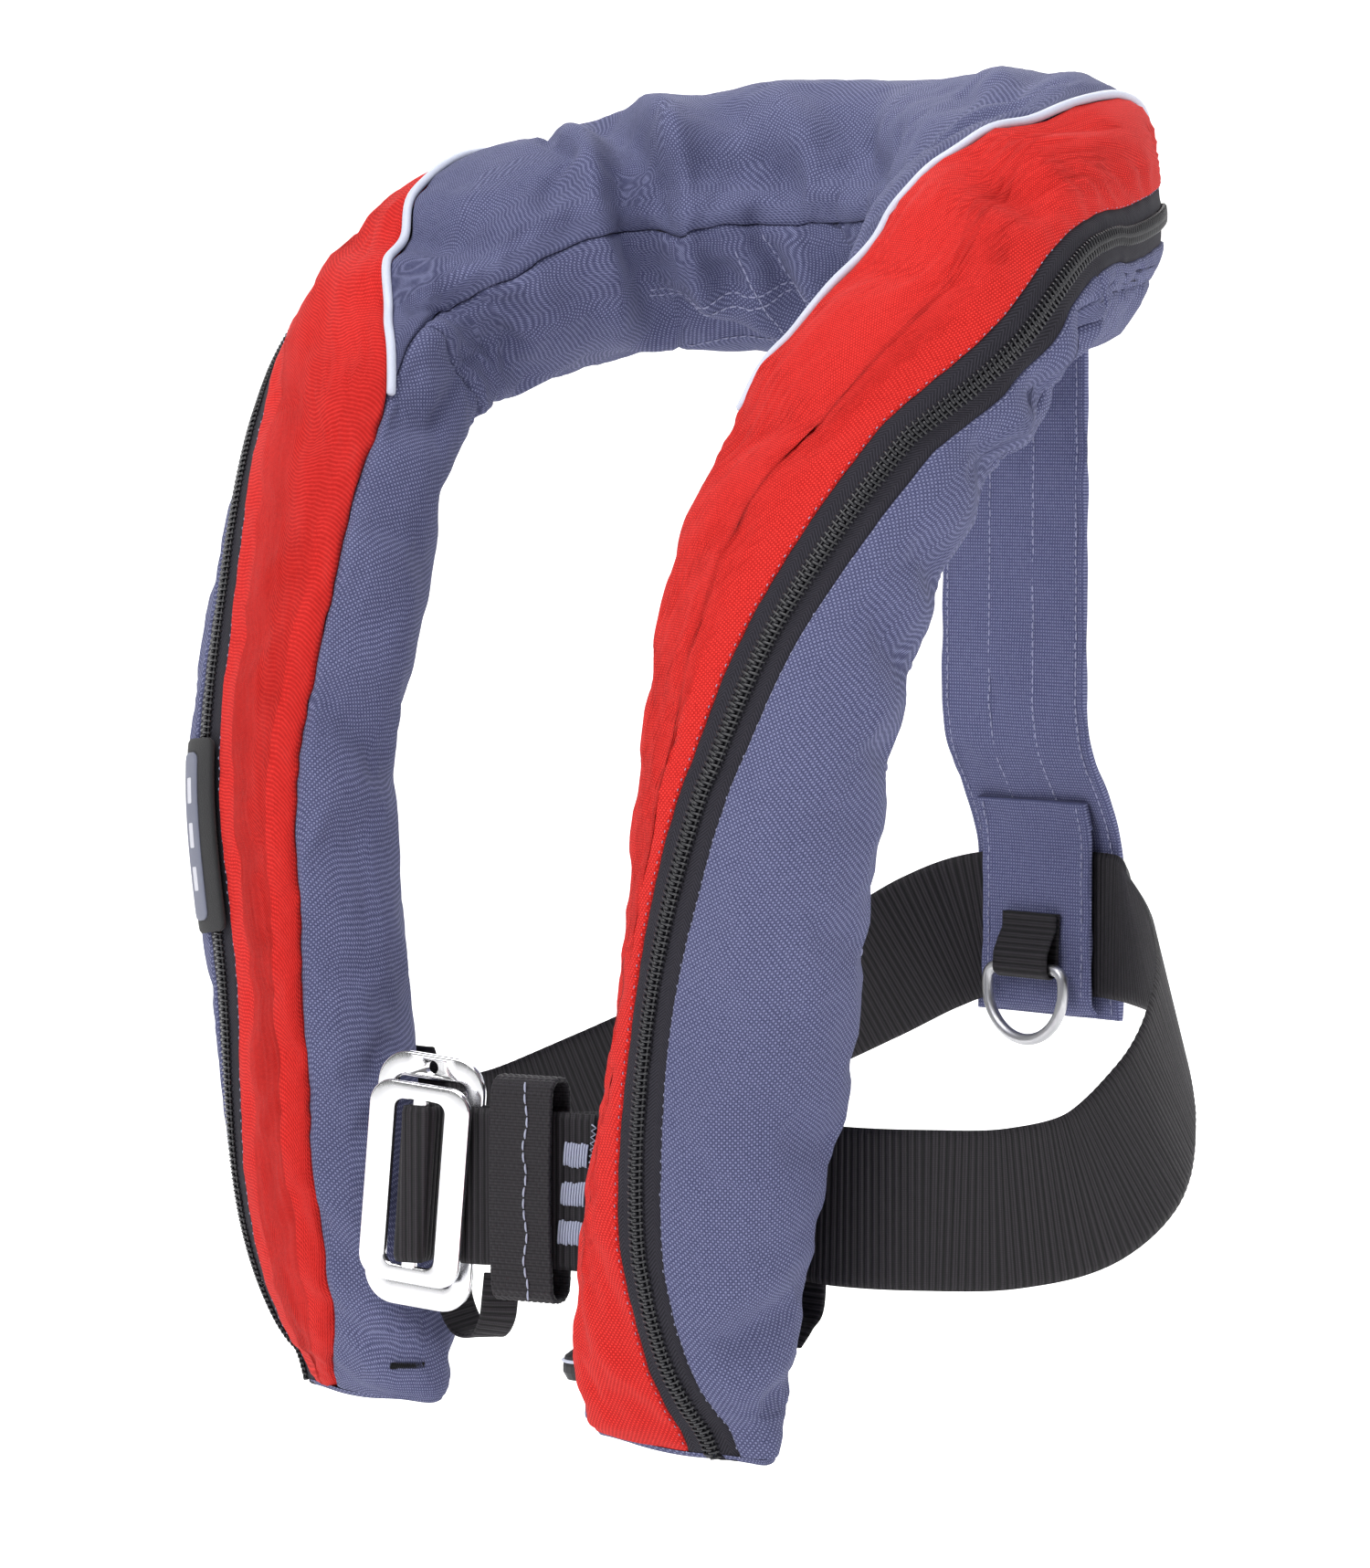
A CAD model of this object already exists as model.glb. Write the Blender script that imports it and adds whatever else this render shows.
"""Looks for the inflatable life jacket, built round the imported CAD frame. Metres, +Z up, wearer facing -Y."""
from math import cos, pi, radians, sin, tan, tau

import bmesh
import bpy
import numpy as np
from mathutils import Matrix, Vector


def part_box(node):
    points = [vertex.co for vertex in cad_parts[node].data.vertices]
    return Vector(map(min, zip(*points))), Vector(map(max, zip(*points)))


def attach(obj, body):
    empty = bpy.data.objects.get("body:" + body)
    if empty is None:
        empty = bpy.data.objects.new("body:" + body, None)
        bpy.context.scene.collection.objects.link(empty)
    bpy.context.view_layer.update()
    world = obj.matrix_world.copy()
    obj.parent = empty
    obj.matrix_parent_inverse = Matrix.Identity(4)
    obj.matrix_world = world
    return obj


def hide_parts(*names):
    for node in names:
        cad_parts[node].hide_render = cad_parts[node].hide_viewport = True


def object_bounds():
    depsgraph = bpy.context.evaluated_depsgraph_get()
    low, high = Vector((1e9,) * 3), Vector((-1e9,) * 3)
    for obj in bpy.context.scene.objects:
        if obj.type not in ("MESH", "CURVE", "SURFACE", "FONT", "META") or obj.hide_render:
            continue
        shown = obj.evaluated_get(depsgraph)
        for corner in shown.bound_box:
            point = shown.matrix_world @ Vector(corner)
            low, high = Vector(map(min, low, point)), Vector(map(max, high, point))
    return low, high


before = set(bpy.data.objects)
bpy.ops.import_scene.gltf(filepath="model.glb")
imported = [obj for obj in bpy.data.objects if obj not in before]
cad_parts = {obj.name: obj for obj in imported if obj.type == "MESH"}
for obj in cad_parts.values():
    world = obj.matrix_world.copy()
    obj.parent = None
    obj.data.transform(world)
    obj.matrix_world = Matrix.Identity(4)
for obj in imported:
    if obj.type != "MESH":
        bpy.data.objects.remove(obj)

MM = 0.001
CAD_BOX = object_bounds()
RNG = np.random.default_rng(7)

# ---- Camera
TARGET = Vector((-0.0114, -0.1041, -0.145))
AZIMUTH, ELEVATION, DISTANCE = radians(45), radians(4.107), 1.983
LENS, SENSOR = 138.6, 36.0


def build_camera():
    data = bpy.data.cameras.new("camera")
    data.lens, data.sensor_width = LENS, SENSOR
    camera = bpy.data.objects.new("camera", data)
    away = Vector((sin(AZIMUTH) * cos(ELEVATION), -cos(AZIMUTH) * cos(ELEVATION), sin(ELEVATION)))
    camera.location = TARGET + away * DISTANCE
    camera.rotation_mode = "QUATERNION"
    camera.rotation_quaternion = away.to_track_quat("Z", "Y")
    bpy.context.scene.collection.objects.link(camera)
    bpy.context.scene.camera = camera


build_camera()

# ---- The padded tube, as the CAD has it
# Sections from the left lobe's foot to the nape: centre x, y, z, half width and half depth in mm, turn in degrees.
STATIONS = (
    (72, -187, -343, 36, 9, 6), (73, -190, -319, 38, 20, 8), (84, -195, -277, 38, 26, 8),
    (98, -192, -211, 39, 27, 8), (107, -191, -143, 40, 28, 8), (109, -177, -81, 42, 29, 8),
    (117, -155, -32, 42, 29, 8), (124, -123, 3, 40, 32, 6), (108, -86, 28, 42, 36, 3),
    (84, -42, 40, 43, 40, 0), (46, -15, 43, 42, 43, 0), (0, 0, 43, 42, 43, 0),
)
NECK = len(STATIONS) - 1
LAST = 2 * NECK
POWER = 2.3  # the sections' superellipse
# Where the zip and the neck seam lie at each station, in degrees round the section: 0 faces the neck, 90 the front.
ZIP_LEFT = (116, 110, 88, 71, 87, 112, 134, 168, 184, 184, 180, 180)
ZIP_RIGHT = (158, 148, 124, 106, 104, 110, 122, 150, 175, 182, 180, 180)
NECK_SEAM_LEFT = (20, 22, 25, 25, 25, 24, 22, 22, 14, 0, -3, -4)
NECK_SEAM_RIGHT = (106, 82, 58, 50, 41, 34, 24, 22, 14, 0, -3, -4)
BODY_SEAM = 215
# The pipings, from the neck seam (0) to the zip (1): share of the way and station.
PIPING_LEFT = ((0.0, 5.9), (0.15, 6.4), (0.3, 7.15), (0.45, 7.8), (0.6, 8.3), (0.7, 8.85), (0.85, 9.4), (1.0, 9.8))
PIPING_RIGHT = ((0.0, 6.0), (0.2, 6.4), (0.42, 7.0), (0.58, 7.5), (0.75, 8.1), (1.0, 8.9))
SHOULDER_SEAM, LINING_SEAM = 7.5, 6.5
TO_ZIP = 9.2 * MM  # from the zip's middle to a panel's edge
PER_STATION = 55 * MM  # about how far apart the stations are
TUBE_RADIUS = 36 * MM
FINE_STATIONS = 2201


def catmull(rows, u):
    """Rows of numbers, smoothly interpolated."""
    rows = np.asarray(rows, float)
    last = len(rows) - 1
    u = np.asarray(u, float)
    i = np.clip(u.astype(int), 0, last - 1)
    t = (u - i)[..., None]
    padded = np.vstack([2 * rows[0] - rows[1], rows, 2 * rows[last] - rows[last - 1]])
    a, b, c, d = padded[i], padded[i + 1], padded[i + 2], padded[i + 3]
    return 0.5 * (2 * b + (c - a) * t + (2 * a - 5 * b + 4 * c - d) * t * t + (3 * b - a - 3 * c + d) * t ** 3)


def unit(v):
    v = np.asarray(v, float)
    return v / np.maximum(np.linalg.norm(v, axis=-1, keepdims=True), 1e-12)


HALF = np.array(STATIONS, float)
ROWS = np.vstack([HALF, HALF[:-1][::-1] * (-1, 1, 1, 1, 1, -1)]) * (MM, MM, MM, MM, MM, 1)


def section_table():
    """Centre, neckward and facing directions and half sizes at closely spaced stations."""
    us = np.linspace(0, LAST, FINE_STATIONS)
    row = catmull(ROWS, us)
    step = 0.001
    along = unit(catmull(ROWS, np.minimum(us + step, LAST))[:, :3] - catmull(ROWS, np.maximum(us - step, 0))[:, :3])
    upright = np.abs(along[:, 2:3])
    turn = np.radians(row[:, 5:6])
    facing = np.hstack([np.sin(turn), -np.cos(turn), 0 * turn]) * upright + np.array((0, 0, 1.0)) * (1 - upright)
    face = unit(facing - along * np.sum(facing * along, axis=1, keepdims=True))
    return us, np.hstack([row[:, :3], -np.cross(along, face), face, row[:, 3:5]])


TABLE_U, TABLE = section_table()


def skin(u, angle, depth=0.0):
    """The plain tube's surface, or a surface this far inside it."""
    u, angle = np.broadcast_arrays(np.asarray(u, float), np.asarray(angle, float))
    place = np.clip(u, 0, LAST) / LAST * (len(TABLE_U) - 1)
    i = np.minimum(place.astype(int), len(TABLE_U) - 2)
    t = (place - i)[..., None]
    row = TABLE[i] * (1 - t) + TABLE[i + 1] * t
    c, s = np.cos(angle), np.sin(angle)
    x = np.sign(c) * np.abs(c) ** (2 / POWER) * (row[..., 9] - depth)
    y = np.sign(s) * np.abs(s) ** (2 / POWER) * (row[..., 10] - depth)
    return row[..., :3] + row[..., 3:6] * x[..., None] + row[..., 6:9] * y[..., None]


def moved(u, angle, distance):
    """The angle this far round the skin from another."""
    angle = angle + 0.0 * np.asarray(distance)
    steps, e = 6, 0.02
    for _ in range(steps):
        speed = np.linalg.norm(skin(u, angle + e) - skin(u, angle - e), axis=-1) / (2 * e)
        angle = angle + distance / steps / speed
    return angle


def seam_angle(left, right, u):
    whole = np.array(list(left) + list(right[:-1])[::-1], float)[:, None]
    return np.radians(catmull(whole, u)[..., 0])


def zip_at(u, offset=0.0):
    return moved(u, seam_angle(ZIP_LEFT, ZIP_RIGHT, u), offset)


def neck_seam(u, offset=0.0):
    return moved(u, seam_angle(NECK_SEAM_LEFT, NECK_SEAM_RIGHT, u), offset)


def body_seam(u, offset=0.0):
    """The seam by the wearer's body, which makes way for the zip."""
    line = np.maximum(radians(BODY_SEAM), zip_at(u, TO_ZIP) + 0.12)
    return moved(u, line, offset)


def piping_station(v, side=1):
    u = np.interp(v, *zip(*(PIPING_LEFT if side > 0 else PIPING_RIGHT)))
    return u if side > 0 else LAST - u


# ---- Folds, and the cloth simulation
# Creases seen in the cover: points (station, degrees), depth in mm and half width in mm.
CREASES = (
    (((13.25, 100), (13.25, 70), (13.3, 40), (13.4, 6), (13.35, -20), (13.2, -50)), 9.0, 7),
    (((13.45, 24), (12.85, 20), (12.25, 16), (11.8, 16)), 3.0, 8),
    (((12.6, 92), (12.3, 40), (11.95, 12), (11.7, -2)), 3.5, 9),
    (((11.6, 60), (11.3, 34), (10.7, 18), (10.1, 12)), 3.5, 8),
    (((10.4, 70), (9.6, 62), (8.9, 66)), 3.0, 8),
    (((9.9, 96), (9.1, 84), (8.5, 90)), 3.0, 7),
    (((12.05, -4), (11.95, -24), (11.85, -52), (11.6, -70)), 4.0, 6),
    (((13.25, -42), (12.7, -60), (12.2, -75)), 3.5, 8),
    (((12.45, -10), (12.3, -40)), 3.0, 5),
    (((11.2, -8), (11.1, -40), (10.9, -70)), 3.5, 7),
    (((10.3, -6), (10.2, -40)), 3.0, 7),
    (((9.4, 0), (9.3, -50)), 3.5, 8),
    (((8.4, 4), (8.4, -40), (8.3, -70)), 4.0, 8),
    (((15.4, 46), (15.15, 26), (14.7, 0), (14.5, -38)), 5.0, 8),
    (((16.1, 24), (16.0, -14), (15.2, -32)), 4.5, 8),
    (((14.9, 90), (14.6, 60), (14.3, 30)), 3.0, 9),
    (((15.9, 16), (15.5, -6), (14.9, -30)), 3.5, 6),
    (((15.95, 104), (16.3, 62), (16.45, 26)), 2.5, 9),
    (((16.65, 36), (16.7, 4), (16.85, -30)), 3.5, 8),
    (((17.15, 42), (17.25, 12), (17.1, -20)), 3.5, 9),
    (((17.6, 42), (17.75, 8), (17.95, -24)), 4.0, 8),
    (((18.3, 30), (18.4, -6)), 2.5, 9),
    (((18.65, 48), (18.95, 18), (19.2, -20)), 3.0, 9),
    (((19.4, 54), (19.8, 30), (19.7, 0)), 3.5, 9),
    (((20.1, 60), (20.45, 48), (21.05, 18)), 3.5, 8),
    (((20.7, 84), (21.1, 60), (21.5, 40)), 2.5, 7),
    (((5.7, 30), (5.75, 60), (5.9, 96)), 3.0, 12),
    (((7.9, 92), (7.5, 118), (7.45, 140)), 2.0, 8),
    (((7.0, 60), (6.8, 100)), 1.8, 10),
    (((1.8, 70), (1.5, 88), (1.3, 106)), 4.0, 8),
    (((0.75, 66), (0.6, 90)), 3.0, 7),
    (((1.9, 186), (1.65, 150), (1.5, 128)), 6.0, 7),
    (((1.1, 190), (0.9, 162)), 3.5, 6),
    (((5.1, 146), (4.85, 176), (4.75, 200)), 4.0, 8),
    (((5.5, 160), (5.35, 205)), 3.5, 7),
    (((4.4, 172), (4.3, 205)), 3.0, 8),
    (((6.2, 170), (6.35, 212)), 4.0, 8),
    (((6.7, 176), (6.9, 214)), 3.5, 7),
    (((7.3, 190), (7.1, 225)), 3.5, 8),
    (((3.6, 150), (3.5, 200)), 2.0, 10),
    (((2.7, 150), (2.6, 200)), 2.5, 9),
)
SIM_ROWS, SIM_COLS, SIM_FRAMES = 256, 56, 22
PRESSURE, EXTRA_CLOTH = 2.2, 0.04
STRETCH_STIFF, SHEAR_STIFF, BEND_STIFF = 12.0, 6.0, 0.25
HELD_BY_ZIP, HELD_BY_SEAM = 12.0, 2.5  # mm
MOST_MOVE = 10.5 * MM


def even_stations(count):
    centres = TABLE[:, :3]
    run = np.concatenate([[0], np.cumsum(np.linalg.norm(np.diff(centres, axis=0), axis=1))])
    return np.interp(np.linspace(0, run[-1], count), run, TABLE_U), run[-1]


SIM_U, TUBE_LENGTH = even_stations(SIM_ROWS)
SIM_A = np.arange(SIM_COLS) * tau / SIM_COLS


def wave_noise(a, b, seed, octaves=4, low=8.0):
    """Smooth repeatable noise of two coordinates in metres: a sum of plane waves."""
    rng = np.random.default_rng(seed)
    total = np.zeros(np.broadcast(a, b).shape)
    for k in range(octaves * 5):
        wave = low * 1.6 ** (k / 5) * tau
        turn = rng.uniform(0, pi)
        total += np.sin(wave * (a * cos(turn) + b * sin(turn)) + rng.uniform(0, tau)) / (1.0 + 0.35 * k)
    return total / 2.2


def crease_depth(points):
    """How far each point is pushed in by the creases."""
    depth = np.zeros(points.shape[:-1])
    flat = points.reshape(-1, 3)
    for line, deep, wide in CREASES:
        stations, angles = np.array(line, float).T
        t = np.linspace(0, 1, 24)
        knots = np.linspace(0, 1, len(line))
        path = skin(np.interp(t, knots, stations), np.radians(np.interp(t, knots, angles)))
        apart = np.linalg.norm(flat[:, None] - path[None], axis=2)
        nearest = apart.argmin(axis=1)
        fade = np.sin(pi * np.clip(0.12 + 0.76 * t[nearest], 0, 1))
        x = apart.min(axis=1) / (wide * MM)
        ridge = 0.28 * np.exp(-((x - 2.1) / 0.8) ** 2)
        depth += (deep * MM * fade * (np.exp(-x ** 2) - ridge)).reshape(depth.shape)
    return depth


def simulate(start):
    """Inflates the tube as cloth a little too large for it, held along its seams, and gives where its points go."""
    rows, cols = start.shape[:2]
    points = np.vstack([start.reshape(-1, 3), start[0].mean(0), start[-1].mean(0)])
    faces = [(r * cols + c, r * cols + (c + 1) % cols, (r + 1) * cols + (c + 1) % cols, (r + 1) * cols + c)
             for r in range(rows - 1) for c in range(cols)]
    first, last = rows * cols, rows * cols + 1
    faces += [(first, (c + 1) % cols, c) for c in range(cols)]
    faces += [(last, (rows - 1) * cols + c, (rows - 1) * cols + (c + 1) % cols) for c in range(cols)]
    mesh = bpy.data.meshes.new("cloth_run")
    mesh.from_pydata(points.tolist(), [], faces)
    thing = bpy.data.objects.new("cloth_run", mesh)
    bpy.context.scene.collection.objects.link(thing)
    held = np.zeros((rows, cols))
    u, a = SIM_U[:, None], SIM_A[None]
    for line, wide in ((zip_at(SIM_U), HELD_BY_ZIP), (neck_seam(SIM_U), HELD_BY_SEAM),
                       (body_seam(SIM_U), HELD_BY_SEAM)):
        gap = np.linalg.norm(skin(u, a) - skin(SIM_U, line)[:, None], axis=2) / MM
        held = np.maximum(held, np.clip(1.6 - gap / wide, 0, 1))
    held[:2] = held[-2:] = 1
    group = thing.vertex_groups.new(name="held")
    for i, w in enumerate(np.append(held.ravel(), (1, 1))):
        if w > 0.02:
            group.add([i], float(w), "REPLACE")
    cloth = thing.modifiers.new("cloth", "CLOTH")
    s = cloth.settings
    s.quality, s.mass, s.air_damping = 5, 0.12, 2.0
    s.tension_stiffness = s.compression_stiffness = STRETCH_STIFF
    s.shear_stiffness, s.bending_stiffness = SHEAR_STIFF, BEND_STIFF
    s.use_pressure, s.uniform_pressure_force = True, PRESSURE
    s.vertex_group_mass, s.pin_stiffness = "held", 1.0
    s.shrink_min = -EXTRA_CLOTH
    s.effector_weights.gravity = 0
    cloth.collision_settings.use_collision = False
    scene = bpy.context.scene
    scene.frame_start, scene.frame_end = 1, SIM_FRAMES
    cloth.point_cache.frame_start, cloth.point_cache.frame_end = 1, SIM_FRAMES
    for f in range(1, SIM_FRAMES + 1):
        scene.frame_set(f)
    done = thing.evaluated_get(bpy.context.evaluated_depsgraph_get())
    out = np.empty(len(points) * 3, np.float32)
    done.data.vertices.foreach_get("co", out)
    scene.frame_set(1)
    bpy.data.objects.remove(thing, do_unlink=True)
    return out.reshape(-1, 3)[:rows * cols].reshape(rows, cols, 3).astype(float)


def outward(points):
    """Normals of a grid of points round the tube, pointing out of it."""
    du = np.gradient(points, axis=0)
    da = np.roll(points, -1, 1) - np.roll(points, 1, 1)
    n = unit(np.cross(da, du))
    centre = points.mean(axis=1, keepdims=True)
    return n * np.sign(np.sum((points - centre) * n, axis=2, keepdims=True))


def soft_step(x):
    """0 to 1 with soft ends."""
    x = np.clip(x, 0, 1)
    return x * x * (3 - 2 * x)


def cover_moves():
    """How far each point of the skin moves: creases, then the simulation, calmer by the zip and on the lobes."""
    base = skin(SIM_U[:, None], SIM_A[None])
    normal = outward(base)
    run = np.linspace(0, TUBE_LENGTH, SIM_ROWS)[:, None]
    round_it = SIM_A[None] * 0.036
    lumps = wave_noise(run + 0 * round_it, round_it + 0 * run, 3) * 0.5 * MM
    end = np.clip(np.minimum(run, TUBE_LENGTH - run) / 0.03, 0, 1)
    creases = crease_depth(base) * end
    start = base + normal * (lumps * end - creases)[..., None]
    after = simulate(start)
    from_zip = np.linalg.norm(base - skin(SIM_U, zip_at(SIM_U))[:, None], axis=2)
    by_zip = 0.12 + 0.88 * soft_step((from_zip - 4 * MM) / (20 * MM))
    on_lobe = soft_step((np.abs(SIM_U - NECK) - 3.5) / 2.0)[:, None]
    move = (after - base) * (by_zip * (1 - 0.45 * on_lobe))[..., None]
    # The cloth smooths the creases out, so they are pressed in again.
    move -= normal * (creases * by_zip * (1.05 - 0.7 * on_lobe))[..., None]
    size = np.linalg.norm(move, axis=2, keepdims=True)
    return move * np.minimum(1, MOST_MOVE / np.maximum(size, 1e-9))


MOVES = cover_moves()


def weights(t):
    """The four weights of a Catmull-Rom step."""
    return (-0.5 * t + t ** 2 - 0.5 * t ** 3, 1 - 2.5 * t ** 2 + 1.5 * t ** 3,
            0.5 * t + 2 * t ** 2 - 1.5 * t ** 3, -0.5 * t ** 2 + 0.5 * t ** 3)


def surface_point(u, angle, depth=0.0):
    """The simulated skin at a station and an angle."""
    u, angle = np.broadcast_arrays(np.asarray(u, float), np.asarray(angle, float))
    r = np.clip(np.interp(u, SIM_U, np.arange(SIM_ROWS)), 0, SIM_ROWS - 1.001)
    c = (angle % tau) / tau * SIM_COLS
    ri, ci = r.astype(int), c.astype(int)
    wr, wc = weights(r - ri), weights(c - ci)
    move = np.zeros(u.shape + (3,))
    for i in range(4):
        rr = np.clip(ri + i - 1, 0, SIM_ROWS - 1)
        for j in range(4):
            move += (wr[i] * wc[j])[..., None] * MOVES[rr, (ci + j - 1) % SIM_COLS]
    return skin(u, angle, depth) + move


def surface(u, angle, depth=0.0):
    """Point and outward normal of the simulated skin."""
    u, angle = np.broadcast_arrays(np.asarray(u, float), np.asarray(angle, float))
    p = surface_point(u, angle)
    du_step, da_step, well_inside = 0.02, 0.05, 20 * MM
    du = surface_point(np.minimum(u + du_step, LAST), angle) - surface_point(np.maximum(u - du_step, 0), angle)
    da = surface_point(u, angle + da_step) - surface_point(u, angle - da_step)
    n = unit(np.cross(da, du))
    n *= np.sign(np.sum((p - skin(u, angle, well_inside)) * n, axis=-1, keepdims=True))
    return p - n * depth, n


# ---- Materials
class Nodes:
    """A short way to write a material's nodes."""

    def __init__(self, name, roughness=0.8, **sockets):
        self.material = bpy.data.materials.new(name)
        self.material.use_nodes = True
        self.tree = self.material.node_tree
        self.shader = self.tree.nodes["Principled BSDF"]
        self.shader.inputs["Roughness"].default_value = roughness
        for key, value in sockets.items():
            self.shader.inputs[key.replace("_", " ")].default_value = value

    def put(self, node, key, value):
        if value is None:
            return
        if isinstance(value, bpy.types.NodeSocket):
            self.tree.links.new(value, node.inputs[key])
        else:
            node.inputs[key].default_value = value

    def math(self, kind, a, b=None, c=None):
        node = self.tree.nodes.new("ShaderNodeMath")
        node.operation = kind
        for k, value in enumerate((a, b, c)):
            self.put(node, k, value)
        return node.outputs[0]

    def times(self, a, b):
        return self.math("MULTIPLY", a, b)

    def waves(self, x, length):
        """A sine of a distance: its absolute value repeats at this length in mm."""
        return self.math("SINE", self.times(x, pi / (length * MM)))

    def cloth(self):
        """Distances along and across the cloth, in metres."""
        at = self.tree.nodes.new("ShaderNodeAttribute")
        at.attribute_name = "cloth"
        split = self.tree.nodes.new("ShaderNodeSeparateXYZ")
        self.put(split, 0, at.outputs["Vector"])
        return split.outputs[0], split.outputs[1]

    def place(self):
        return self.tree.nodes.new("ShaderNodeTexCoord").outputs["Object"]

    def noise(self, scale, detail=3.0, where=None):
        node = self.tree.nodes.new("ShaderNodeTexNoise")
        self.put(node, "Vector", where or self.place())
        self.put(node, "Scale", scale)
        self.put(node, "Detail", detail)
        return node.outputs["Fac"]

    def mix(self, factor, a, b):
        node = self.tree.nodes.new("ShaderNodeMix")
        node.data_type = "RGBA"
        self.put(node, "Factor", factor)
        self.put(node, 6, (*a, 1) if isinstance(a, tuple) else a)
        self.put(node, 7, (*b, 1) if isinstance(b, tuple) else b)
        return node.outputs[2]

    def span(self, value, low, high, new_low=0.0, new_high=1.0):
        node = self.tree.nodes.new("ShaderNodeMapRange")
        for k, v in enumerate((value, low, high, new_low, new_high)):
            self.put(node, k, v)
        return node.outputs[0]

    def bump(self, height, distance, strength=1.0, under=None):
        node = self.tree.nodes.new("ShaderNodeBump")
        self.put(node, "Height", height)
        self.put(node, "Distance", distance)
        self.put(node, "Strength", strength)
        self.put(node, "Normal", under)
        return node.outputs[0]

    def done(self, colour=None, normal=None, roughness=None):
        self.put(self.shader, "Base Color", (*colour, 1) if isinstance(colour, tuple) else colour)
        self.put(self.shader, "Normal", normal)
        self.put(self.shader, "Roughness", roughness)
        return self.material


def woven(name, light, dark, pitch, turn=0.0):
    """Plain-weave cloth: threads over and under each other, dark in the gaps between. The pitch is in mm."""
    lift, roughness = 0.16, 0.82
    n = Nodes(name, roughness, Sheen_Weight=0.03, Sheen_Roughness=0.5, Specular_IOR_Level=0.2)
    x, y = n.cloth()
    if turn:
        x, y = (n.math("ADD", n.times(x, cos(turn)), n.times(y, -sin(turn))),
                n.math("ADD", n.times(x, sin(turn)), n.times(y, cos(turn))))
    sx, sy = n.waves(x, pitch), n.waves(y, pitch)
    over = n.math("GREATER_THAN", n.times(sx, sy), 0.0)
    ax, ay = n.math("ABSOLUTE", sx), n.math("ABSOLUTE", sy)
    knuckle = n.times(n.math("POWER", ax, 0.5), n.math("POWER", ay, 0.5))
    height = n.times(knuckle, n.math("MULTIPLY_ADD", over, 0.62, 0.38))
    soiled, grain = n.noise(14.0), n.noise(900.0, 2.0)
    tone = n.math("ADD", height, n.times(n.math("SUBTRACT", grain, 0.5), 0.35))
    colour = n.mix(n.span(tone, 0.05, 0.95), dark, light)
    colour = n.mix(n.span(soiled, 0.3, 0.7, 0.0, 0.16), colour, tuple(0.72 * v for v in dark))
    fuzz = n.bump(grain, 0.05 * MM, 0.35)
    shine = n.span(height, 0, 1, roughness + 0.1, roughness - 0.06)
    return n.done(colour, n.bump(height, lift * MM, 0.9, fuzz), shine)


def webbing_look(name, light, dark, ribs=None):
    """Woven webbing, with grooves across it where ribs says how far apart they are in mm."""
    pitch = 0.5
    n = Nodes(name, 0.7, Sheen_Weight=0.03, Sheen_Roughness=0.45, Specular_IOR_Level=0.3)
    x, y = n.cloth()
    sx = n.math("ABSOLUTE", n.waves(x, 2 * pitch))
    sy = n.math("ABSOLUTE", n.waves(y, pitch))
    height = n.times(n.math("POWER", sx, 0.6), n.math("MULTIPLY_ADD", sy, 0.5, 0.5))
    if ribs:
        height = n.times(height, n.span(n.math("ABSOLUTE", n.waves(x, ribs)), 0.1, 0.75))
    grain = n.noise(1500.0, 2.0)
    tone = n.math("MULTIPLY_ADD", n.math("SUBTRACT", grain, 0.5), 0.5, height)
    colour = n.mix(n.span(tone, 0.1, 1.0), dark, light)
    return n.done(colour, n.bump(height, 0.12 * MM, 0.8), n.span(grain, 0.3, 0.7, 0.52, 0.7))


def twill(name, light, dark):
    """Zip tape: fine diagonal ribs that turn back in a herringbone."""
    pitch, thread_pitch, turn_back = 0.55, 0.225, 3.2
    n = Nodes(name, 0.85, Sheen_Weight=0.03, Sheen_Roughness=0.5, Specular_IOR_Level=0.2)
    x, y = n.cloth()
    back = n.math("PINGPONG", y, turn_back * MM)
    wave = n.waves(n.math("ADD", x, back), pitch)
    thread = n.waves(y, thread_pitch)
    height = n.math("MULTIPLY_ADD", thread, 0.12, n.span(wave, -1, 1))
    grain = n.noise(1200.0, 2.0)
    colour = n.mix(n.math("MULTIPLY_ADD", grain, 0.4, n.times(height, 0.6)), dark, light)
    return n.done(colour, n.bump(height, 0.1 * MM, 0.8))


def plain(name, colour, roughness, speckle=0.1, bump=0.02, scale=700.0, **sockets):
    """Plastic, rubber or thread: a fine grain and slow changes of shine."""
    n = Nodes(name, roughness, **sockets)
    grain, slow = n.noise(scale, 3.0), n.noise(30.0)
    tone = n.math("MULTIPLY_ADD", grain, 0.6, n.times(slow, 0.4))
    look = n.mix(n.span(tone, 0.3, 0.7, 0.0, speckle), colour, tuple(0.45 * v for v in colour))
    return n.done(look, n.bump(grain, bump * MM, 0.5), n.span(slow, 0.3, 0.7, roughness - 0.05, roughness + 0.07))


def steel(name, colour, roughness, brushed=0.0):
    """Steel with fine upright brush lines and a smear of handling."""
    n = Nodes(name, roughness, Metallic=1.0)
    smear = n.noise(18.0, 4.0)
    stretch = n.tree.nodes.new("ShaderNodeMapping")
    n.put(stretch, "Vector", n.place())
    stretch.inputs["Scale"].default_value = (1.0, 1.0, 0.04)
    lines = n.noise(2600.0, 2.0, stretch.outputs[0])
    brush = n.span(lines, 0.3, 0.7, roughness - 0.05, roughness + 0.06 + brushed)
    rough = n.math("MULTIPLY_ADD", smear, 0.08, brush)
    return n.done(colour, n.bump(lines, 0.004 * MM, 0.25 + brushed), rough)


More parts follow.
